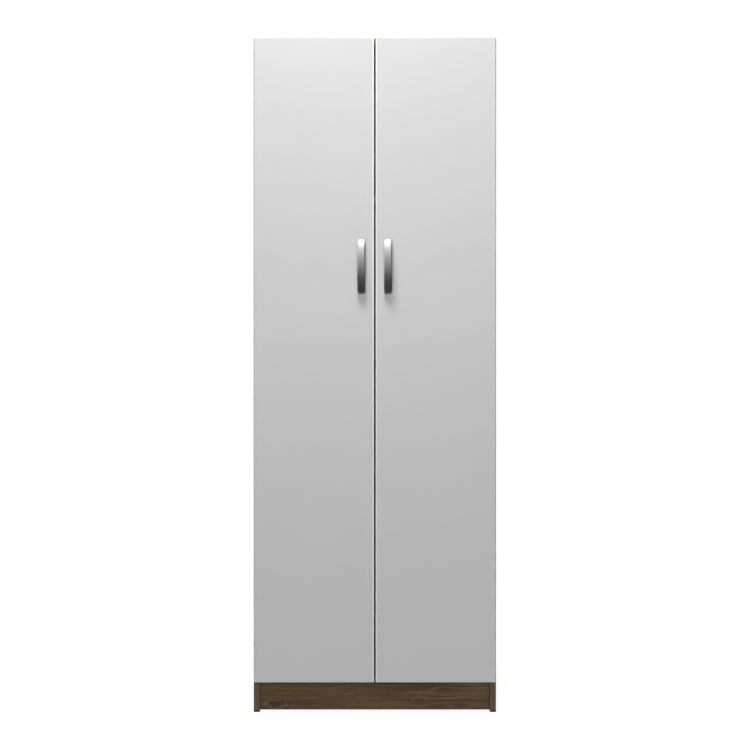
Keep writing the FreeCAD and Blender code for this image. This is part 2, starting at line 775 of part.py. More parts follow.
for place_name, level in zip(("low", "middle", "high"), hinge_levels):
    hinge_cup(place_name, level)
    hinge_arm(place_name, level)
    hinge_plate(place_name, level)

# Bow handle: a crescent seen from the side, as wide as a strip, with rounded corners and edges
handle = new_body("handle", -dim.handle_offset, door_front, dim.handle_centre_height)
bow = new_sketch(handle, "YZ_Plane")
handle_half = dim.handle_length / 2
grip_half = handle_half - dim.handle_foot
outer_rise = dim.handle_rise - dim.handle_end_height
inner_rise = dim.handle_rise - dim.handle_thickness
outer_radius = (handle_half * handle_half + outer_rise * outer_rise) / (2 * outer_rise)
inner_radius = (grip_half * grip_half + inner_rise * inner_rise) / (2 * inner_rise)
draw_outline(bow, [
    (0, -handle_half), (0, -grip_half, inner_radius, False), (0, grip_half), (0, handle_half),
    (-dim.handle_end_height, handle_half, outer_radius, True), (-dim.handle_end_height, -handle_half),
])
feature(handle, "Pad", bow, side="Symmetric", Length=dim.handle_width)
screw_holes = new_sketch(handle, "XZ_Plane")
handle_hole = dim.handle_screw_radius + dim.fit_clearance
hole_depth = dim.handle_screw_grip + dim.fit_clearance
for side in (-1, 1):
    draw_circle(screw_holes, 0, side * dim.handle_hole_spacing / 2, handle_hole)
drilled_strip = feature(handle, "Pocket", screw_holes, reverse=True, Length=hole_depth)
outer_centre = outer_radius.value - dim.handle_rise.value


def at_strip_corner(edge):
    points = [vertex.Point for vertex in edge.Vertexes]
    along_depth = near(points[0].x, points[-1].x) and near(points[0].z, points[-1].z)
    return along_depth and near(abs(points[0].z), handle_half.value)


def on_bow_front(edge):
    points = [vertex.Point for vertex in edge.Vertexes]
    return all(near(math.hypot(point.y - outer_centre, point.z), outer_radius.value) for point in points)


rounded_strip = fillet(handle, drilled_strip, dim.handle_corner_radius, at_strip_corner)
fillet(handle, rounded_strip, dim.handle_edge_radius, on_bow_front)
pair("handle", handle)
for side in (-1, 1):
    spot = (-dim.handle_offset, dim.handle_centre_height + side * dim.handle_hole_spacing / 2)
    screw("handle_screws", "y", door_back, -1, spot, dim.handle_screw_head, dim.handle_screw_radius,
          dim.door_thickness + dim.handle_screw_grip)
    bore("door", "y", handle_hole, (door_front, door_back), spot)

# Buffers on the doors' free corners, which meet the front edges of the top and bottom panels
buffer_x = -dim.centre_gap / 2 - dim.buffer_inset
for level in ((door_bottom + floor_top) / 2, (top_under + door_top) / 2):
    fastener("door_buffers", rod("buffer", "y", dim.buffer_radius,
                                 (door_back, carcass_front - dim.run_clearance), (buffer_x, level)))

# Doors, with rounded edges on both faces
door_left = dim.door_reveal - half_width
door = new_body("door", door_left, door_front, door_bottom)
door_sketch = new_sketch(door, "XZ_Plane")
door_width = -dim.centre_gap / 2 - door_left
draw_outline(door_sketch, rectangle((0, door_width), (0, door_top - door_bottom)))
door_pad = feature(door, "Pad", door_sketch, reverse=True, Length=dim.door_thickness)


def on_door_front(edge):
    return all(near(vertex.Point.y, 0) for vertex in edge.Vertexes)


def on_door_rear(edge):
    return all(near(vertex.Point.y, dim.door_thickness.value) for vertex in edge.Vertexes)


front_rounded = fillet(door, door_pad, dim.door_edge_radius, on_door_front)
fillet(door, front_rounded, dim.door_edge_radius, on_door_rear)
pair("door", drilled("door", door, False))

# Boards with their bores
for board, (x, y, z) in boards.items():
    raw = box(f"{board}_blank", x, y, z)
    if board == "side_panel_left":
        pair("side_panel", drilled(board, raw, False))
    elif board in bores:
        subpart(board, drilled(board, raw, True))
    else:
        subpart(board, raw)

# Fasteners: one group for each door, and one group of each kind for the carcass
for label, pieces in fasteners.items():
    left = group(f"{label}_group", pieces)
    if label in ("handle_screws", "cup_screws", "hinge_pins", "door_buffers"):
        pair(label, left)
    else:
        subpart(label, group(f"{label}_both", [left, mirrored(f"{label}_mirrored", left)]))

doc.recompute()
for item in doc.Objects:
    if "Invalid" in item.State or "Error" in item.State:
        raise RuntimeError(f"{item.Label} failed: {item.State}")
for item in subparts:
    if item.Shape.isNull() or not item.Shape.isValid():
        raise RuntimeError(f"{item.Label} has no valid shape")

os.makedirs("parts", exist_ok=True)
for item in subparts:
    Part.Compound(item.Shape.Solids).exportStep(f"parts/{item.Label}.step")
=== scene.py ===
import bmesh
import bpy
import json
import math
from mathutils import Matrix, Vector


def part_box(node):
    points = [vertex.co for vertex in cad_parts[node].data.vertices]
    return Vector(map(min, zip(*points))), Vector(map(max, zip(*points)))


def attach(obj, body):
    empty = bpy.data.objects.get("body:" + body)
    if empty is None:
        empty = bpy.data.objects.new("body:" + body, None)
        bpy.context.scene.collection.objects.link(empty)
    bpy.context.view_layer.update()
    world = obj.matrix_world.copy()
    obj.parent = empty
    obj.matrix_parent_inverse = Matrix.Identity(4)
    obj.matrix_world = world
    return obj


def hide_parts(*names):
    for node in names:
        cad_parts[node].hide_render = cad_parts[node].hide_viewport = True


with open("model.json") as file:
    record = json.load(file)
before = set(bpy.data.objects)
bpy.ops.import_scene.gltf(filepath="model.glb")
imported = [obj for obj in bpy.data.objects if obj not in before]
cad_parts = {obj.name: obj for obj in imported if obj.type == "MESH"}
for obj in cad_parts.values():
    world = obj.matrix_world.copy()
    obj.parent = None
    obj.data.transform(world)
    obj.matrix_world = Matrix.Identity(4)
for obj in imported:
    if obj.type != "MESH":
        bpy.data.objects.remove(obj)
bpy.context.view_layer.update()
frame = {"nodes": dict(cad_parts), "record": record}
cadNodes = frame["nodes"]
mm = 0.001
hands = ("left", "right")
levels = ("low", "middle", "high")


class Signal:  # one socket of a node tree, so that maths on it can be written as an expression
    def __init__(self, graph, socket):
        self.graph = graph
        self.socket = socket

    def maths(self, operation, first, second=0.0):
        return self.graph.node("ShaderNodeMath", {"operation": operation}, {0: first, 1: second})

    def __add__(self, other):
        return self.maths("ADD", self, other)

    def __sub__(self, other):
        return self.maths("SUBTRACT", self, other)

    def __rsub__(self, other):
        return self.maths("SUBTRACT", other, self)

    def __mul__(self, other):
        return self.maths("MULTIPLY", self, other)

    def __neg__(self):
        return self.maths("MULTIPLY", self, -1.0)

    def __abs__(self):
        return self.maths("ABSOLUTE", self)

    def root(self):
        return self.maths("SQRT", self)

    def fraction(self):
        return self.maths("FRACT", self)

    def most(self, other):
        return self.maths("MAXIMUM", self, other)

    def least(self, other):
        return self.maths("MINIMUM", self, other)

    __radd__ = __add__
    __rmul__ = __mul__


class Graph:  # a node tree of a finish, of the world or of geometry
    def __init__(self, tree):
        self.tree = tree

    def node(self, kind, settings=None, sockets=None, output=0):
        made = self.tree.nodes.new(kind)
        for key, value in (settings or {}).items():
            if key == "stops":
                self.setStops(made.color_ramp, value)
            else:
                setattr(made, key, value)
        for key, value in (sockets or {}).items():
            self.feed(made.inputs[key], value)
        return Signal(self, made.outputs[output])

    def feed(self, socket, value):
        for each in value if isinstance(value, list) else [value]:
            if isinstance(each, Signal):
                self.tree.links.new(each.socket, socket)
            else:
                socket.default_value = each

    def setStops(self, ramp, stops):
        while len(ramp.elements) < len(stops):
            ramp.elements.new(1.0)
        for element, (spot, colour) in zip(ramp.elements, stops):
            element.position = spot
            element.color = colour


class Finish(Graph):  # a material; steady holds what is the same all over
    def __init__(self, name, steady):
        self.material = bpy.data.materials.new(name)
        self.material.use_nodes = True
        super().__init__(self.material.node_tree)
        self.shader = self.tree.nodes["Principled BSDF"]
        self.varies(steady)

    def varies(self, sockets):
        for key, value in sockets.items():
            self.feed(self.shader.inputs[key], value)

    def surface(self, shader):  # takes the place of the usual shader
        self.tree.nodes.remove(self.shader)
        self.feed(self.tree.nodes["Material Output"].inputs["Surface"], shader)

    def place(self, scale=(1.0, 1.0, 1.0), shift=(0.0, 0.0, 0.0)):
        spot = self.node("ShaderNodeTexCoord", output="Object")
        return self.node("ShaderNodeMapping", None, {"Vector": spot, "Location": shift, "Scale": scale})

    def axes(self):
        spot = self.node("ShaderNodeTexCoord", output="Object")
        parts = self.node("ShaderNodeSeparateXYZ", None, {0: spot})
        return [Signal(self, socket) for socket in parts.socket.node.outputs]

    def noise(self, where, scale, detail=2.0, roughness=0.5, distortion=0.0):
        return self.node("ShaderNodeTexNoise", None, {
            "Vector": where, "Scale": scale, "Detail": detail,
            "Roughness": roughness, "Distortion": distortion})

    def ease(self, value, low, high, first=0.0, last=1.0):  # a smooth step from first to last
        return self.node("ShaderNodeMapRange", {"interpolation_type": "SMOOTHSTEP"}, {
            "Value": value, "From Min": low, "From Max": high, "To Min": first, "To Max": last})

    def tint(self, value, stops):
        return self.node("ShaderNodeValToRGB", {"stops": stops}, {"Fac": value})

    def mix(self, factor, first, second):  # sockets 6 and 7 and output 2 are the node's colours
        return self.node("ShaderNodeMix", {"data_type": "RGBA"}, {0: factor, 6: first, 7: second}, output=2)

    def relief(self, height, depth):  # depth is how far a height of 1 stands out, in metres
        bumped = self.node("ShaderNodeBump", None, {"Height": height, "Distance": depth, "Strength": 1.0})
        self.varies({"Normal": bumped})


def shade(red, green, blue):  # a colour as a picture shows it, from 0 to 255
    def linear(part):
        part = part / 255
        return part / 12.92 if part <= 0.04045 else ((part + 0.055) / 1.055) ** 2.4

    return linear(red), linear(green), linear(blue), 1.0


# White foil of the doors, with a painted highlight: a whiter band round the edges,
# widest along the edge that is held to open them
whiteFoil = {
    "light": shade(223, 223, 223),
    "dark": shade(218, 218, 218),
    # the whiter band and the fainter rim are a painted highlight along the door edges
    "band": shade(250, 250, 250),
    "seam": shade(196, 196, 195),
    "highlightBandWidth": 3.6 * mm,
    "rimHighlightWidth": 2.0 * mm,
    "rimHighlightShare": 0.35,
    "edgeFade": 0.05 * mm,
    "seamWidth": 0.3 * mm,
    "seamShare": 0.5,
    "cloudScale": 4.0,
    "peelScale": 420.0,
    "gritScale": 1500.0,
    "gritShare": 0.3,
    "smearScale": 9.0,
    "smearStretch": (1.0, 1.0, 0.3),
    "rough": 0.36,
    "smearRough": 0.12,
    "gritRough": 0.05,
    "peelDepth": 0.03 * mm,
    "ior": 1.5,
}


def makeWhiteFoil(look):
    finish = Finish("whiteFoil", {"IOR": look["ior"]})
    low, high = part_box("door_right")
    axes = finish.axes()
    across, up = axes[0], axes[2]

    # painted highlight: whitens the face within a set width of an edge
    def paintedHighlight(distance, width, share):
        return finish.ease(distance, width - look["edgeFade"], width + look["edgeFade"], share, 0.0)

    fromGap = abs(across) - low.x
    fromRim = (high.x - abs(across)).least(up - low.z).least(high.z - up)
    band = paintedHighlight(fromGap, look["highlightBandWidth"], 1.0)
    rim = paintedHighlight(fromRim, look["rimHighlightWidth"], look["rimHighlightShare"])
    seam = finish.ease(abs(fromGap - look["highlightBandWidth"]), 0.0, look["seamWidth"], 1.0, 0.0)
    clouds = finish.noise(finish.place(), look["cloudScale"], 3.0)
    peel = finish.noise(finish.place(), look["peelScale"], 2.0)
    grit = finish.noise(finish.place(), look["gritScale"], 1.0)
    smears = finish.noise(finish.place(look["smearStretch"]), look["smearScale"], 4.0, 0.6)
    face = finish.mix(clouds, look["dark"], look["light"])
    face = finish.mix(seam * look["seamShare"], face, look["seam"])
    # the painted highlight is laid over the face here
    finish.varies({
        "Base Color": finish.mix(band.most(rim), face, look["band"]),
        "Roughness": look["rough"] + look["smearRough"] * (smears - 0.5) + look["gritRough"] * (grit - 0.5),
    })
    finish.relief(peel * (1 - look["gritShare"]) + grit * look["gritShare"], look["peelDepth"])
    return finish.material


# Dark wood-grain foil of the carcass; the front edges carry a plainer band, whose paler, greyer tone is a
# painted sheen.
# Its patterns are given by how fine they are along the grain and across it
woodFoil = {
    "darkGrain": shade(82, 60, 39),
    "middleGrain": shade(110, 87, 60),
    "lightGrain": shade(128, 104, 75),
    "toneStops": (0.36, 0.5, 0.64),
    "flow": (0.42, 5.5),
    "flowWeight": 0.34,
    "ringLines": 15.0,
    "ringWander": 1.2,
    "ringDark": (0.8, 0.86),
    "figureWeight": 0.14,
    "streaks": (2.2, 110.0),
    "streakWeight": 0.68,
    "hairs": (9.0, 800.0),
    "hairWeight": 0.5,
    "pore": shade(55, 40, 26),
    "pores": (26.0, 1200.0),
    "poreEdge": (0.60, 0.70),
    "poreShare": 0.55,
    "poreRelief": 0.65,
    "poreDepth": 0.05 * mm,
    "knot": shade(52, 38, 25),
    "knotCells": (2.6, 9.0),
    "knotShare": 0.3,
    "knotDark": 0.75,
    "knotEdge": (0.02, 0.09),
    "knotBend": 0.16,
    "bendReach": 0.35,
    "streakWander": 0.12,
    # the front edges' plain band, made paler and greyer as a painted sheen
    "band": shade(122, 104, 86),
    "bandStreak": shade(106, 89, 71),
    "bandGrain": (4.0, 400.0),
    "bandDepth": 0.3 * mm,
    "bandFade": 0.1 * mm,
    # painted shade: a dark line along the outer corner of the front edges
    "arris": shade(56, 44, 34),
    "arrisWidth": 3.0 * mm,
    "rough": 0.46,
    "streakRough": 0.12,
    "poreRough": 0.1,
    "ior": 1.33,
}

# The plinth's foil is calmer, and its knots have set places:
# each one's place across, height, half length and half height in mm, and how dark it is
woodPlinth = woodFoil | {
    "streakWeight": 0.5,
    "knots": [
        (-266.0, 19.0, 19.0, 7.0, 0.75),
        (-66.0, 43.0, 9.0, 5.0, 0.36),
        (119.0, 27.0, 16.0, 7.0, 0.45),
        (190.0, 54.0, 20.0, 6.0, 0.4),
        (231.0, 14.0, 20.0, 4.5, 0.42),
    ],
    "knotHeart": (0.1, 0.7),
    "heartShare": 0.45,
    "knotRim": 1.2,
    "knotBend": 0.07,
    "bendReach": 2.6,
    "streakWander": 1.6,
    "blots": (55.0, 1.0, 130.0),
    "blotWander": 1.8,
}


# Both kinds of knots give how far the growth rings bend and how dark the foil is
def placedKnots(finish, look, streaks):  # a dark rim round a paler heart
    axes = finish.axes()
    across, up = axes[0], axes[2]
    blots = finish.noise(finish.place(look["blots"]), 1.0, 2.0)
    uneven = look["streakWander"] * (streaks - 0.5) + look["blotWander"] * (blots - 0.5)
    bend, dark = 0.0, 0.0
    for spot, height, halfLength, halfHeight, strength in look["knots"]:
        aside = (across - spot * mm) * (1 / (halfLength * mm))
        above = (up - height * mm) * (1 / (halfHeight * mm))
        away = (aside * aside + above * above).root() + uneven
        bend = finish.ease(away, 0.0, look["bendReach"], look["knotBend"], 0.0).most(bend)
        heart = finish.ease(away, *look["knotHeart"], look["heartShare"] * strength, strength)
        rim = finish.ease(away, look["knotHeart"][1], look["knotRim"], strength, 0.0)
        dark = heart.least(rim).most(dark)
    return bend, dark


def scatteredKnots(finish, look, streaks, space):  # in the middle of some of the cells
    cells = finish.node("ShaderNodeTexVoronoi", {"feature": "F1"}, {
        "Vector": space, "Scale": 1.0, "Randomness": 1.0}, output="Distance")
    lot = Signal(finish, cells.socket.node.outputs["Color"])
    knotted = finish.ease(lot, look["knotShare"], look["knotShare"] + 0.02, 1.0, 0.0)
    bend = knotted * finish.ease(cells, 0.0, look["bendReach"], look["knotBend"], 0.0)
    core = finish.ease(cells + look["streakWander"] * (streaks - 0.5), *look["knotEdge"], 1.0, 0.0)
    return bend, look["knotDark"] * (knotted * core)


def makeWoodFoil(name, look, grainAxis, shift):
    finish = Finish(name, {"IOR": look["ior"]})

    def grainSpace(pattern):
        length, across = look[pattern]
        scale = (length, across, across) if grainAxis == "X" else (across, across, length)
        return finish.place(scale, shift)

    def grain(pattern, detail, roughness=0.5):
        return finish.noise(grainSpace(pattern), 1.0, detail, roughness)

    streaks = grain("streaks", 5.0, 0.62)
    if "knots" in look:
        bend, knots = placedKnots(finish, look, streaks)
    else:
        bend, knots = scatteredKnots(finish, look, streaks, grainSpace("knotCells"))
    hairs = grain("hairs", 2.0)
    flow = grain("flow", 3.0) + bend
    ring = (flow * look["ringLines"] + streaks * look["ringWander"]).fraction()
    darkStart, darkEnd = look["ringDark"]  # each ring fades slowly to a dark line, then turns pale again
    figure = finish.ease(ring, 0.0, darkStart, 1.0, 0.0) + finish.ease(ring, darkEnd, 1.0)
    tone = 0.5 + look["flowWeight"] * (flow - 0.5) + look["figureWeight"] * (figure - 0.5)
    tone = tone + look["streakWeight"] * (streaks - 0.5) + look["hairWeight"] * (hairs - 0.5)
    pores = finish.ease(grain("pores", 1.0), *look["poreEdge"])
    grainTones = (look["darkGrain"], look["middleGrain"], look["lightGrain"])
    colour = finish.tint(tone, list(zip(look["toneStops"], grainTones)))
    colour = finish.mix(pores * look["poreShare"], colour, look["pore"])
    colour = finish.mix(knots, colour, look["knot"])
    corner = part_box("side_panel_left")[0]
    across, along = finish.axes()[:2]
    band = finish.ease(along - corner.y, look["bandDepth"], look["bandDepth"] + look["bandFade"], 1.0, 0.0)
    # painted shade: darkens the front edges within a set width of the outer faces
    arris = finish.ease(abs(across) + corner.x, -look["arrisWidth"], 0.0)
    # the band's paler, greyer tone is a painted sheen
    bandColour = finish.mix(grain("bandGrain", 3.0), look["bandStreak"], look["band"])
    bandColour = finish.mix(arris, bandColour, look["arris"])
    finish.varies({
        "Base Color": finish.mix(band, colour, bandColour),
        "Roughness": look["rough"] + look["streakRough"] * (streaks - 0.5) + look["poreRough"] * pores,
    })
    finish.relief(streaks * (1 - look["poreRelief"]) - pores * look["poreRelief"], look["poreDepth"])
    return finish.material


# Back boards: raw brown hardboard behind, pale foil with a linen look towards the inside
hardboard = {
    "light": shade(162, 124, 87),
    "dark": shade(128, 95, 64),
    "cloudScale": 5.0,
    "feltScale": 260.0,
    "feltShare": 0.55,
    "feltRough": 0.1,
    "fibre": shade(100, 72, 48),
    "fibreScale": 1100.0,
    "fibreStretch": (1.0, 1.0, 0.3),
    "fibreShift": (0.0, 0.0, 3.0),
    "fibreEdge": (0.56, 0.74),
    "fibreShare": 0.45,
    "fibreRelief": 0.4,
    "chip": shade(186, 150, 112),
    "chipScale": 900.0,
    "chipStretch": (0.4, 1.0, 1.0),
    "chipEdge": (0.60, 0.76),
    "chipShare": 0.3,
    "curl": 0.8,
    "inside": shade(176, 165, 148),
    "insideDark": shade(158, 146, 128),
    "warp": (9.0, 1.0, 900.0),
    "weft": (900.0, 1.0, 9.0),
    "linenRelief": 0.25,
    "insideRough": 0.5,
    "behindRough": 0.8,
    "depth": 0.08 * mm,
    "ior": 1.45,
}


def makeHardboard(look):
    finish = Finish("hardboard", {"IOR": look["ior"]})
    low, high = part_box("back_panel_lower")
    behind = finish.ease(finish.axes()[1], (low.y + high.y) / 2, high.y)
    clouds = finish.noise(finish.place(), look["cloudScale"], 4.0, 0.6)
    felt = finish.noise(finish.place(), look["feltScale"], 5.0, 0.7)
    fibreSpace = finish.place(look["fibreStretch"], look["fibreShift"])
    fibres = finish.noise(fibreSpace, look["fibreScale"], 2.0, 0.5, look["curl"])
    fibres = finish.ease(fibres, *look["fibreEdge"])
    chips = finish.noise(finish.place(look["chipStretch"]), look["chipScale"], 2.0, 0.5, look["curl"])
    chips = finish.ease(chips, *look["chipEdge"])
    warp = finish.noise(finish.place(look["warp"]), 1.0, 2.0)
    weft = finish.noise(finish.place(look["weft"]), 1.0, 2.0)
    raw = clouds * (1 - look["feltShare"]) + felt * look["feltShare"]
    raw = finish.mix(raw, look["dark"], look["light"])
    raw = finish.mix(fibres * look["fibreShare"], raw, look["fibre"])
    raw = finish.mix(chips * look["chipShare"], raw, look["chip"])
    foil = finish.mix(warp * 0.5 + weft * 0.5, look["insideDark"], look["inside"])
    rougher = look["behindRough"] - look["insideRough"]
    finish.varies({
        "Base Color": finish.mix(behind, foil, raw),
        "Roughness": look["insideRough"] + rougher * behind + look["feltRough"] * (felt - 0.5),
    })
    linen = (warp + weft) * look["linenRelief"]
    finish.relief(linen + (felt + fibres * look["fibreRelief"] - linen) * behind, look["depth"])
    return finish.material


# Metals: a base colour, how rough, how far the polish varies, and the brush lines' stretch on each axis
metals = {
    "satinHandle": {"tone": shade(206, 206, 206), "rough": 0.28, "vary": 0.12,
                    "brush": (700.0, 700.0, 9.0), "depth": 0.004 * mm},
    "chromeRail": {"tone": shade(214, 215, 217), "rough": 0.13, "vary": 0.1,
                   "brush": (6.0, 500.0, 500.0), "depth": 0.002 * mm},
    "nickelSocket": {"tone": shade(198, 196, 190), "rough": 0.24, "vary": 0.1,
                     "brush": (60.0, 60.0, 60.0), "depth": 0.004 * mm},
    "nickelHinge": {"tone": shade(214, 212, 206), "rough": 0.36, "vary": 0.12,
                    "brush": (40.0, 260.0, 260.0), "depth": 0.004 * mm, "metal": 0.8},
    "brightSteel": {"tone": shade(192, 192, 194), "rough": 0.32, "vary": 0.12,
                    "brush": (300.0, 300.0, 300.0), "depth": 0.004 * mm},
    "castZinc": {"tone": shade(168, 168, 170), "rough": 0.44, "vary": 0.16,
                 "brush": (500.0, 500.0, 500.0), "depth": 0.03 * mm},
}
polish = {"wearScale": 38.0, "wearShare": 0.4, "darker": 0.82, "ior": 2.2}


def makeMetal(name, look):
    finish = Finish(name, {"Metallic": look.get("metal", 1.0), "IOR": polish["ior"]})
    brush = finish.noise(finish.place(look["brush"]), 1.0, 4.0, 0.65)
    wear = finish.noise(finish.place(), polish["wearScale"], 3.0)
    darkTone = tuple(part * polish["darker"] for part in look["tone"][:3]) + (1.0,)
    blend = brush * (1 - polish["wearShare"]) + wear * polish["wearShare"]
    finish.varies({
        "Base Color": finish.mix(blend, darkTone, look["tone"]),
        "Roughness": look["rough"] + look["vary"] * (brush * 0.5 + wear * 0.5 - 0.5),
    })
    finish.relief(brush, look["depth"])
    return finish.material


# Plastics, rubber and beech: two tones that a noise blends, how rough, the grain's stretch and depth
softer = {
    "darkPlastic": {"light": shade(44, 42, 40), "dark": shade(30, 28, 27), "rough": 0.6,
                    "grain": (700.0, 700.0, 700.0), "depth": 0.03 * mm, "ior": 1.3},
    "brownPlastic": {"light": shade(142, 126, 106), "dark": shade(124, 108, 90), "rough": 0.5,
                     "grain": (4.0, 500.0, 500.0), "depth": 0.02 * mm},
    "clearRubber": {"light": shade(214, 216, 214), "dark": shade(196, 198, 196), "rough": 0.38,
                    "grain": (400.0, 400.0, 400.0), "depth": 0.02 * mm},
    "beech": {"light": shade(214, 178, 136), "dark": shade(186, 146, 104), "rough": 0.62,
              "grain": (30.0, 600.0, 600.0), "depth": 0.04 * mm},
}
mottling = {"cloudScale": 60.0, "cloudShare": 0.4, "grainRough": 0.14}


def makeSofter(name, look):
    finish = Finish(name, {"IOR": look.get("ior", 1.5)})
    grain = finish.noise(finish.place(look["grain"]), 1.0, 3.0, 0.6)
    clouds = finish.noise(finish.place(), mottling["cloudScale"], 2.0)
    blend = grain * (1 - mottling["cloudShare"]) + clouds * mottling["cloudShare"]
    finish.varies({
        "Base Color": finish.mix(blend, look["dark"], look["light"]),
        "Roughness": look["rough"] + mottling["grainRough"] * (grain - 0.5),
    })
    finish.relief(grain, look["depth"])
    return finish.material


finishes = {
    "whiteFoil": makeWhiteFoil(whiteFoil),
    "woodPlinth": makeWoodFoil("woodPlinth", woodPlinth, "X", (0.3, 0.0, 4.2)),
    "woodLevel": makeWoodFoil("woodLevel", woodFoil, "X", (1.7, 0.4, 0.0)),
    "woodUpright": makeWoodFoil("woodUpright", woodFoil, "Z", (0.0, 2.3, 0.9)),
    "hardboard": makeHardboard(hardboard),
}
for name, look in metals.items():
    finishes[name] = makeMetal(name, look)
for name, look in softer.items():
    finishes[name] = makeSofter(name, look)
print("finishes made:", len(finishes))


def newItem(name, data):
    item = bpy.data.objects.new(name, data)
    bpy.context.scene.collection.objects.link(item)
    return item


def newPiece(name, mesh, finish, body, slot, *replaced):
    piece = newItem(name, mesh)
    if finish:
        mesh.materials.clear()
        mesh.materials.append(finishes[finish])
    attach(piece, body)
    if replaced:
        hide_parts(*replaced)
    return piece


def bodyOf(node):
    return next(body for body, members in frame["record"]["behaviour"]["bodies"].items() if node in members)


def slotOf(node):
    return next(row["material_slot"] for row in frame["record"]["subparts"] if row["node"] == node)


def keptResult(carrier, name):  # the mesh that the carrier's modifiers make; the carrier itself goes
    mesh = bpy.data.meshes.new_from_object(carrier.evaluated_get(bpy.context.evaluated_depsgraph_get()))
    mesh.name = name
    carrier.modifiers.clear()
    bpy.data.objects.remove(carrier)
    return mesh


# How CAD shapes are cleaned up and softened; angles in degrees
softening = {
    "weld": 0.001 * mm,
    "flatAngle": 0.3,
    "smoothAngle": 32,
    "cornerAngle": 40,
    "segments": 2,
    "outerMargin": 0.01 * mm,
}


def weldedShape(node):  # a copy of a node's mesh with its loose triangles joined
    shape = bmesh.new()
    shape.from_mesh(cadNodes[node].data)
    bmesh.ops.remove_doubles(shape, verts=shape.verts, dist=softening["weld"])
    return shape


def meshFrom(shape, name):
    mesh = bpy.data.meshes.new(name)
    shape.to_mesh(mesh)
    shape.free()
    return mesh


def mergedMesh(node, name):  # flat areas become single faces
    shape = weldedShape(node)
    flat = math.radians(softening["flatAngle"])
    bmesh.ops.dissolve_limit(shape, angle_limit=flat, verts=shape.verts, edges=shape.edges)
    return meshFrom(shape, name)


def smoothed(mesh, angle):
    mesh.shade_smooth()
    mesh.set_sharp_from_angle(angle=math.radians(angle))
    return mesh


# CAD shapes that only need smooth curves and softened edges: finish, edge rounding in mm
softened = {
    "door_left": ("whiteFoil", 0.0),
    "door_right": ("whiteFoil", 0.0),
    "hanging_rail": ("chromeRail", 0.0),
    "rail_socket_left": ("nickelSocket", 0.4),
    "rail_socket_right": ("nickelSocket", 0.4),
    "foot_glides": ("darkPlastic", 0.5),
    "shelf_pins": ("brightSteel", 0.3),
    "cam_discs": ("castZinc", 0.2),
    "cam_bolts": ("brightSteel", 0.0),
    "wood_dowels": ("beech", 0.4),
    "hinge_pins_left": ("brightSteel", 0.2),
    "hinge_pins_right": ("brightSteel", 0.2),
    "door_buffers_left": ("clearRubber", 0.7),
    "door_buffers_right": ("clearRubber", 0.7),
}
for level in levels:
    for hand in hands:
        softened[f"hinge_cup_{level}_{hand}"] = ("nickelHinge", 0.25)
        softened[f"hinge_arm_{level}_{hand}"] = ("nickelHinge", 0.3)
        softened[f"hinge_plate_{level}_{hand}"] = ("nickelHinge", 0.3)

# Boards, whose drilled holes stay sharp: finish, rounding of the outer edges in mm
boards = {
    "side_panel_left": ("woodUpright", 0.6),
    "side_panel_right": ("woodUpright", 0.6),
    "top_panel": ("woodLevel", 0.6),
    "bottom_panel": ("woodLevel", 0.6),
    "hat_shelf": ("woodLevel", 0.6),
    "plinth_board": ("woodPlinth", 0.6),
    "back_panel_lower": ("hardboard", 0.3),
    "back_panel_upper": ("hardboard", 0.3),
    "back_joiner_strip": ("brownPlastic", 0.2),
}


def boxOf(points):
    low = Vector([min(point[axis] for point in points) for axis in range(3)])
    high = Vector([max(point[axis] for point in points) for axis in range(3)])
    return low, high


def markOuterEdges(mesh):  # the edges that lie on two sides of the mesh's box are the ones to round
    low, high = boxOf([vert.co for vert in mesh.vertices])
    weights = mesh.attributes.new("bevel_weight_edge", "FLOAT", "EDGE")
    for edge, weight in zip(mesh.edges, weights.data):
        middle = sum((mesh.vertices[number].co for number in edge.vertices), Vector()) / 2
        nearest = [min(middle[axis] - low[axis], high[axis] - middle[axis]) for axis in range(3)]
        sides = sum(distance < softening["outerMargin"] for distance in nearest)
        weight.value = 1.0 if sides > 1 else 0.0


def roundEdges(mesh, rounding, limit):  # by modifiers whose result is kept; flat sides keep a flat shading
    carrier = newItem("roundingCarrier", mesh)
    if rounding:
        bevel = carrier.modifiers.new("rounding", "BEVEL")
        bevel.width = rounding * mm
        bevel.segments = softening["segments"]
        bevel.limit_method = limit
        bevel.angle_limit = math.radians(softening["cornerAngle"])
        bevel.use_clamp_overlap = True
    carrier.modifiers.new("flatSides", "WEIGHTED_NORMAL").keep_sharp = True
    return keptResult(carrier, mesh.name)


for node, (finish, rounding) in (softened | boards).items():
    mesh = smoothed(mergedMesh(node, node + "_soft"), softening["smoothAngle"])
    if node in boards:
        markOuterEdges(mesh)
    mesh = roundEdges(mesh, rounding, "WEIGHT" if node in boards else "ANGLE")
    newPiece(node + "_soft", mesh, finish, bodyOf(node), slotOf(node), node)
print("softened pieces:", len(softened), "boards:", len(boards))


def islands(node):  # the boxes of a node's separate solids
    shape = weldedShape(node)
    found = []
    waiting = set(shape.verts)
    while waiting:
        edge = [waiting.pop()]
        points = []
        while edge:
            vert = edge.pop()
            points.append(vert.co.copy())
            for link in vert.link_edges:
                other = link.other_vert(vert)
                if other in waiting:
                    waiting.remove(other)
                    edge.append(other)
        found.append(boxOf(points))
    shape.free()
    return sorted(found, key=lambda box: tuple(box[0]))


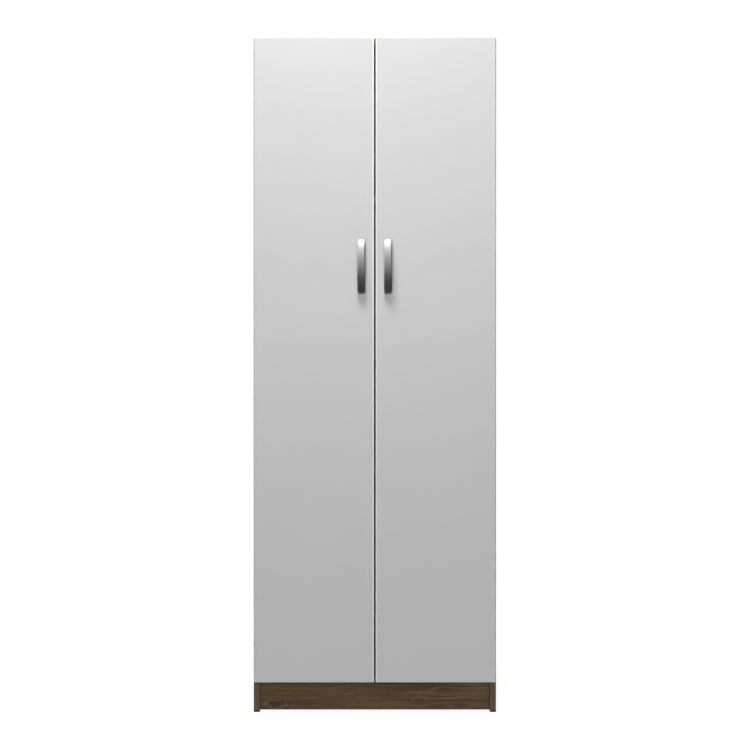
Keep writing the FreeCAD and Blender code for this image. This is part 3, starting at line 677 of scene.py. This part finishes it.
def newTree(name, sizes):  # a geometry tree whose points are its seats, with its sizes as named inputs
    tree = bpy.data.node_groups.new(name, "GeometryNodeTree")
    tree.interface.new_socket("Seats", in_out="INPUT", socket_type="NodeSocketGeometry")
    for label in sizes:
        tree.interface.new_socket(label, in_out="INPUT", socket_type="NodeSocketFloat")
    tree.interface.new_socket("Finish", in_out="INPUT", socket_type="NodeSocketMaterial")
    tree.interface.new_socket("Pieces", in_out="OUTPUT", socket_type="NodeSocketGeometry")
    graph = Graph(tree)
    given = tree.nodes.new("NodeGroupInput")
    return graph, {socket.name: Signal(graph, socket) for socket in given.outputs if socket.name}


def moved(graph, geometry, lift):
    offset = graph.node("ShaderNodeCombineXYZ", None, {2: lift})
    return graph.node("GeometryNodeTransform", None, {"Geometry": geometry, "Translation": offset})


def setOnSeats(graph, given, shape):  # one shape on every seat, drawn in mm, each turned by its own amount
    facing = graph.node("GeometryNodeInputNamedAttribute", {"data_type": "FLOAT_VECTOR"}, {"Name": "facing"})
    upright = graph.node("FunctionNodeAlignRotationToVector", {"axis": "Z"}, {"Vector": facing})
    spin = graph.node("FunctionNodeRandomValue", {"data_type": "FLOAT"},
                      {2: 0.0, 3: math.tau, "Seed": 7}, output=1)
    twist = graph.node("FunctionNodeAxisAngleToRotation", None, {"Axis": (0, 0, 1), "Angle": spin})
    turned = graph.node("FunctionNodeRotateRotation", {"rotation_space": "LOCAL"},
                        {"Rotation": upright, "Rotate By": twist})
    placed = graph.node("GeometryNodeInstanceOnPoints", None, {
        "Points": given["Seats"], "Instance": shape, "Rotation": turned, "Scale": (mm, mm, mm)})
    real = graph.node("GeometryNodeRealizeInstances", None, {"Geometry": placed})
    painted = graph.node("GeometryNodeSetMaterial", None, {"Geometry": real, "Material": given["Finish"]})
    finish = graph.tree.nodes.new("NodeGroupOutput")
    graph.feed(finish.inputs["Pieces"], painted)


def cone(graph, sides, bottom, top, height, lift):
    shape = graph.node("GeometryNodeMeshCone", None, {
        "Vertices": sides, "Radius Bottom": bottom, "Radius Top": top, "Depth": height})
    return moved(graph, shape, lift)


# Cross-head screws: a pan head with a cross recess, and a tapered shank.
# All are shares of the head's or the shank's size, but for the numbers of sides and the overlap in mm
crossScrew = {
    "sides": 32,
    "rimFoot": 0.97,
    "rimHeight": 0.4,
    "crownStart": 0.39,
    "crownHeight": 0.61,
    "crownTop": 0.68,
    "shankSides": 16,
    "shankTip": 0.3,
    "shankOverlap": 0.05,
    "slotLength": 1.1,
    "slotWidth": 0.24,
    "slotHeight": 1.3,
}
fastenerSizes = ("Head radius", "Head height", "Shank radius", "Shank length")


def buildScrewTree(look):
    graph, given = newTree("crossScrews", fastenerSizes)
    headRadius, headHeight, shankRadius, shankLength = [given[label] for label in fastenerSizes]
    rim = cone(graph, look["sides"], headRadius * look["rimFoot"], headRadius,
               headHeight * look["rimHeight"], 0.0)
    crown = cone(graph, look["sides"], headRadius, headRadius * look["crownTop"],
                 headHeight * look["crownHeight"], headHeight * look["crownStart"])
    shank = cone(graph, look["shankSides"], shankRadius * look["shankTip"], shankRadius,
                 shankLength + look["shankOverlap"], look["shankOverlap"] - shankLength)
    whole = graph.node("GeometryNodeMeshBoolean", {"operation": "UNION"}, {1: [rim, crown, shank]})
    slots = []
    for along, across in (("slotLength", "slotWidth"), ("slotWidth", "slotLength")):
        size = graph.node("ShaderNodeCombineXYZ", None, {
            0: headRadius * look[along], 1: headRadius * look[across], 2: headHeight * look["slotHeight"]})
        slots.append(moved(graph, graph.node("GeometryNodeMeshCube", None, {"Size": size}), headHeight))
    cut = graph.node("GeometryNodeMeshBoolean", {"operation": "DIFFERENCE"}, {0: whole, 1: slots})
    setOnSeats(graph, given, cut)
    return graph.tree


# Nails of the back: a thin round head on a plain shank
flatNail = {"sides": 14, "headTop": 0.8, "shankSides": 8, "shankTip": 0.3}


def buildNailTree(look):
    graph, given = newTree("flatNails", fastenerSizes)
    headRadius, headHeight, shankRadius, shankLength = [given[label] for label in fastenerSizes]
    head = cone(graph, look["sides"], headRadius, headRadius * look["headTop"], headHeight, 0.0)
    shank = cone(graph, look["shankSides"], shankRadius * look["shankTip"], shankRadius,
                 shankLength, -shankLength)
    whole = graph.node("GeometryNodeJoinGeometry", None, {0: [head, shank]})
    setOnSeats(graph, given, whole)
    return graph.tree


def runTree(name, tree, seats, sizes, finish):  # the tree's result as a plain mesh
    points = bpy.data.meshes.new(name + "Seats")
    points.from_pydata([point for point, facing in seats], [], [])
    attribute = points.attributes.new("facing", "FLOAT_VECTOR", "POINT")
    for spot, (point, facing) in zip(attribute.data, seats):
        spot.vector = facing
    carrier = newItem(name + "Carrier", points)
    modifier = carrier.modifiers.new("tree", "NODES")
    modifier.node_group = tree
    values = dict(sizes, Finish=finishes[finish])
    for item in tree.interface.items_tree:
        if item.item_type == "SOCKET" and item.in_out == "INPUT" and item.name in values:
            modifier[item.identifier] = values[item.name]
    return keptResult(carrier, name)


# Fasteners, in mm: the axis that the head looks along, its size and the shank
plateScrew = {"axis": 0, "Head radius": 4.2, "Head height": 2.2, "Shank radius": 2.4, "Shank length": 13.0}
cupScrew = {"axis": 1, "Head radius": 3.5, "Head height": 2.2, "Shank radius": 1.7, "Shank length": 12.0}
handleScrew = {"axis": 1, "Head radius": 4.0, "Head height": 2.2, "Shank radius": 1.9, "Shank length": 22.0}
backNail = {"axis": 1, "Head radius": 1.8, "Head height": 0.6, "Shank radius": 0.65, "Shank length": 20.0}
fasteners = {
    "plate_screws": plateScrew,
    "arm_screws": plateScrew | {"Shank radius": 2.3, "Shank length": 8.0},
    "rail_socket_screws": cupScrew | {"axis": 0, "Shank length": 14.0},
    "cup_screws_left": cupScrew,
    "cup_screws_right": cupScrew,
    "handle_screws_left": handleScrew,
    "handle_screws_right": handleScrew,
    "back_nails": backNail,
}


def seatsOf(node, axis, headHeight):  # where each head sits, read from the node's own solids
    seats = []
    for low, high in islands(node):
        middle = (low + high) / 2
        inward = -1.0 if axis == 0 and middle.x > 0 else 1.0
        facing = Vector((0.0, 0.0, 0.0))
        facing[axis] = inward
        seat = middle.copy()
        seat[axis] = (high[axis] if inward > 0 else low[axis]) - inward * headHeight * mm
        seats.append((seat, facing))
    return seats


screwTree = buildScrewTree(crossScrew)
nailTree = buildNailTree(flatNail)
for node, sizes in fasteners.items():
    tree = nailTree if node == "back_nails" else screwTree
    seats = seatsOf(node, sizes["axis"], sizes["Head height"])
    mesh = runTree(node + "_cut", tree, seats, sizes, "brightSteel")
    newPiece(node + "_cut", mesh, None, bodyOf(node), slotOf(node), node)
print("fastener sets:", len(fasteners))

# Adjusting screws on the hinge arms, ahead of the fixing screws
adjusters = {"ahead": 26.0, "Head radius": 3.0, "Head height": 1.6, "Shank radius": 1.6, "Shank length": 3.0}
ahead = Vector((0.0, -adjusters["ahead"] * mm, 0.0))
armSeats = seatsOf("arm_screws", 0, fasteners["arm_screws"]["Head height"])
adjusterSeats = [(seat + ahead, facing) for seat, facing in armSeats]
mesh = runTree("adjusting_screws", screwTree, adjusterSeats, adjusters, "brightSteel")
newPiece("adjusting_screws", mesh, None, "carcass", "bright_steel")

# Bow handles, lofted from one section to the next: a flat front with a sloping facet on each side
bow = {
    "thickness": 6.0 * mm,
    "endHeight": 3.5 * mm,
    "foot": 18.0 * mm,
    "cornerRadius": 5.5 * mm,
    "flatShare": 0.6,
    "facetDrop": 1.0 * mm,
    "edgeRadius": 1.3 * mm,
    "edgeTurn": 0.82,
    "edgeSteps": 5,
    "endRadius": 1.8 * mm,
    "stations": 72,
    "smoothAngle": 13,
}


def bowStations(half, look):  # closer together towards the ends, where the corners turn
    spots = []
    for number in range(look["stations"] + 1):
        share = number / look["stations"] * 2 - 1
        spots.append(half * math.sin(share * math.pi / 2))
    return spots


def arcHeight(along, half, rise):  # of an arc that is rise high in the middle and nothing at half
    radius = (half * half + rise * rise) / (2 * rise)
    return math.sqrt(radius ** 2 - along ** 2) - radius + rise


def cornerDrop(toEnd, radius):  # how far a rounded corner falls back near the end
    if toEnd >= radius:
        return 0.0
    return radius - math.sqrt(radius ** 2 - (radius - toEnd) ** 2)


def bowSection(along, half, halfWidth, rise, look):
    toEnd = half - abs(along)
    grip = half - look["foot"]
    back = arcHeight(along, grip, rise - look["thickness"]) if abs(along) < grip else 0.0
    front = arcHeight(along, half, rise - look["endHeight"]) + look["endHeight"]
    front -= cornerDrop(toEnd, look["endRadius"])
    width = halfWidth - cornerDrop(toEnd, look["cornerRadius"])
    radius = look["edgeRadius"]
    shoulder = front - look["facetDrop"]
    side = [(width, back), (width, shoulder - radius)]
    for step in range(1, look["edgeSteps"] + 1):
        turn = math.pi / 2 * look["edgeTurn"] * step / look["edgeSteps"]
        side.append((width - radius * (1 - math.cos(turn)), shoulder - radius + radius * math.sin(turn)))
    side.append((width * look["flatShare"], front))
    return side + [(-across, depth) for across, depth in reversed(side)]


for hand in hands:
    low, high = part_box("handle_" + hand)
    middle = (low + high) / 2
    half = (high.z - low.z) / 2
    halfWidth = (high.x - low.x) / 2
    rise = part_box("door_" + hand)[0].y - low.y
    shape = bmesh.new()
    rings = []
    for along in bowStations(half, bow):
        section = bowSection(along, half, halfWidth, rise, bow)
        points = [(middle.x + across, high.y - depth, middle.z + along) for across, depth in section]
        rings.append([shape.verts.new(point) for point in points])
    count = len(rings[0])
    for first, second in zip(rings, rings[1:]):
        for number in range(count):
            following = (number + 1) % count
            shape.faces.new((first[number], first[following], second[following], second[number]))
    shape.faces.new(rings[0])
    shape.faces.new(rings[-1])
    bmesh.ops.recalc_face_normals(shape, faces=shape.faces)
    mesh = smoothed(meshFrom(shape, f"handle_{hand}_bow"), bow["smoothAngle"])
    newPiece(f"handle_{hand}_bow", mesh, "satinHandle", bodyOf("handle_" + hand), "satin_handle_metal",
             "handle_" + hand)
print("handles made:", len(hands))

# Stage: a pale floor that stays white for the camera and still takes the shadow near the wardrobe
stage = {
    "floorSize": 14.0,
    "floorDrop": 0.3 * mm,
    "floorTone": 0.3,
    "glow": 0.88,
    "shadowTone": 0.2,
    "shadowReach": (0.7, 1.5),
    "ambient": 0.22,
}
white = (1.0, 1.0, 1.0, 1.0)


def seenDirectly(graph):  # camera, mirror and glass rays
    path = graph.node("ShaderNodeLightPath")
    rays = {socket.name: Signal(graph, socket) for socket in path.socket.node.outputs}
    return rays["Is Camera Ray"].most(rays["Is Glossy Ray"]).most(rays["Is Transmission Ray"])


def plane(name, corners, material):
    mesh = bpy.data.meshes.new(name)
    mesh.from_pydata(corners, [], [(0, 1, 2, 3)])
    mesh.materials.append(material)
    item = newItem(name, mesh)
    return item


def emission(graph, strength):
    return graph.node("ShaderNodeEmission", None, {"Color": white, "Strength": strength})


def diffuse(graph, tone):
    return graph.node("ShaderNodeBsdfDiffuse", None, {"Color": (tone, tone, tone, 1.0)})


def makeFloorFinish(look):
    finish = Finish("paleFloor", {})
    across, along = finish.axes()[:2]
    away = (across * across + along * along).root()
    near = finish.node("ShaderNodeAddShader", None, {
        0: emission(finish, look["glow"]), 1: diffuse(finish, look["shadowTone"])})
    shown = finish.node("ShaderNodeMixShader", None, {
        0: finish.ease(away, *look["shadowReach"]), 1: near, 2: emission(finish, 1.0)})
    finish.surface(finish.node("ShaderNodeMixShader", None, {
        0: seenDirectly(finish), 1: diffuse(finish, look["floorTone"]), 2: shown}))
    return finish.material


reach = stage["floorSize"] / 2
floorCorners = [(-reach, -reach), (reach, -reach), (reach, reach), (-reach, reach)]
plane("floor", [(x, y, -stage["floorDrop"]) for x, y in floorCorners], makeFloorFinish(stage))

# Cards that only mirror rays meet: dark on the floor in front, bright above, grey on the right and behind the
# camera. Each blends two tones along an axis, from its first place and tone to its last
cards = {
    "floorCard": {"axis": 1, "first": (-0.8, 0.05), "last": (-4.6, 0.18),
                  "corners": [(-7.0, -4.6, 0.001), (7.0, -4.6, 0.001),
                              (7.0, -0.45, 0.001), (-7.0, -0.45, 0.001)]},
    "topCard": {"axis": 1, "first": (-1.6, 2.3), "last": (-0.2, 2.5),
                "corners": [(-1.2, -1.6, 3.3), (0.85, -1.6, 3.3), (0.85, -0.2, 3.3), (-1.2, -0.2, 3.3)]},
    "rightCard": {"axis": 2, "first": (0.0, 0.2), "last": (4.2, 0.3),
                  "corners": [(2.4, -3.4, 0.0), (2.4, 0.4, 0.0), (0.85, 0.4, 4.2), (0.85, -3.4, 4.2)]},
    "frontCard": {"axis": 2, "first": (0.0, 0.17), "last": (4.5, 0.78),
                  "corners": [(-7.0, -4.6, 0.0), (7.0, -4.6, 0.0), (7.0, -4.6, 4.5), (-7.0, -4.6, 4.5)]},
}
for name, look in cards.items():
    finish = Finish(name, {})
    spot = finish.axes()[look["axis"]]
    (low, lowTone), (high, highTone) = look["first"], look["last"]
    tone = finish.node("ShaderNodeMapRange", None, {
        "Value": spot, "From Min": low, "From Max": high, "To Min": lowTone, "To Max": highTone})
    finish.surface(finish.node("ShaderNodeEmission", None, {"Color": tone, "Strength": 1.0}))
    card = plane(name, look["corners"], finish.material)
    card.visible_camera = card.visible_diffuse = card.visible_shadow = card.visible_transmission = False

world = bpy.data.worlds.new("studio")
world.use_nodes = True
world.node_tree.nodes.clear()
air = Graph(world.node_tree)
fill = air.node("ShaderNodeBackground", None, {"Color": white, "Strength": stage["ambient"]})
backdrop = air.node("ShaderNodeBackground", None, {"Color": white, "Strength": 1.0})
sky = air.node("ShaderNodeMixShader", None, {0: seenDirectly(air), 1: fill, 2: backdrop})
air.feed(world.node_tree.nodes.new("ShaderNodeOutputWorld").inputs["Surface"], sky)
bpy.context.scene.world = world

# Softboxes: place, the point each one looks at, width and height, watts, and how wide it spreads in degrees
softboxes = {
    "overhead": {"spot": (-0.24, -1.15, 4.0), "target": (0.0, -0.3, 0.9), "size": (0.8, 0.5),
                 "watts": 106.0, "spread": 180.0},
    "frontFill": {"spot": (0.0, -3.5, 1.7), "target": (0.0, -0.2, 0.9), "size": (1.6, 1.2),
                  "watts": 26.0, "spread": 180.0},
    "leftSide": {"spot": (-3.4, 0.9, 1.7), "target": (0.0, 0.1, 1.0), "size": (2.0, 1.8),
                 "watts": 14.0, "spread": 70.0},
    "rightSide": {"spot": (3.4, 0.9, 1.7), "target": (0.0, 0.1, 1.0), "size": (2.0, 1.8),
                  "watts": 14.0, "spread": 70.0},
    "behind": {"spot": (0.0, 3.4, 1.9), "target": (0.0, 0.3, 1.0), "size": (2.4, 1.8),
               "watts": 15.0, "spread": 80.0},
}
for name, look in softboxes.items():
    lamp = bpy.data.lights.new(name, "AREA")
    lamp.shape = "RECTANGLE"
    lamp.size, lamp.size_y = look["size"]
    lamp.energy = look["watts"]
    lamp.spread = math.radians(look["spread"])
    item = newItem(name, lamp)
    item.location = look["spot"]
    item.rotation_euler = (Vector(look["target"]) - Vector(look["spot"])).to_track_quat("-Z", "Y").to_euler()
    item.visible_camera = item.visible_glossy = False

# Camera: level, straight in front
view = {"lens": 50.0, "sensor": 36.0, "aside": 0.4 * mm, "distance": 2.776, "height": 0.9042}
lens = bpy.data.cameras.new("photoCamera")
lens.lens = view["lens"]
lens.sensor_width = view["sensor"]
camera = newItem("photoCamera", lens)
camera.location = (view["aside"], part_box("door_left")[0].y - view["distance"], view["height"])
camera.rotation_euler = (math.radians(90), 0.0, 0.0)
bpy.context.scene.camera = camera
bpy.context.scene.view_settings.view_transform = "Standard"
print("stage, lamps and camera set")
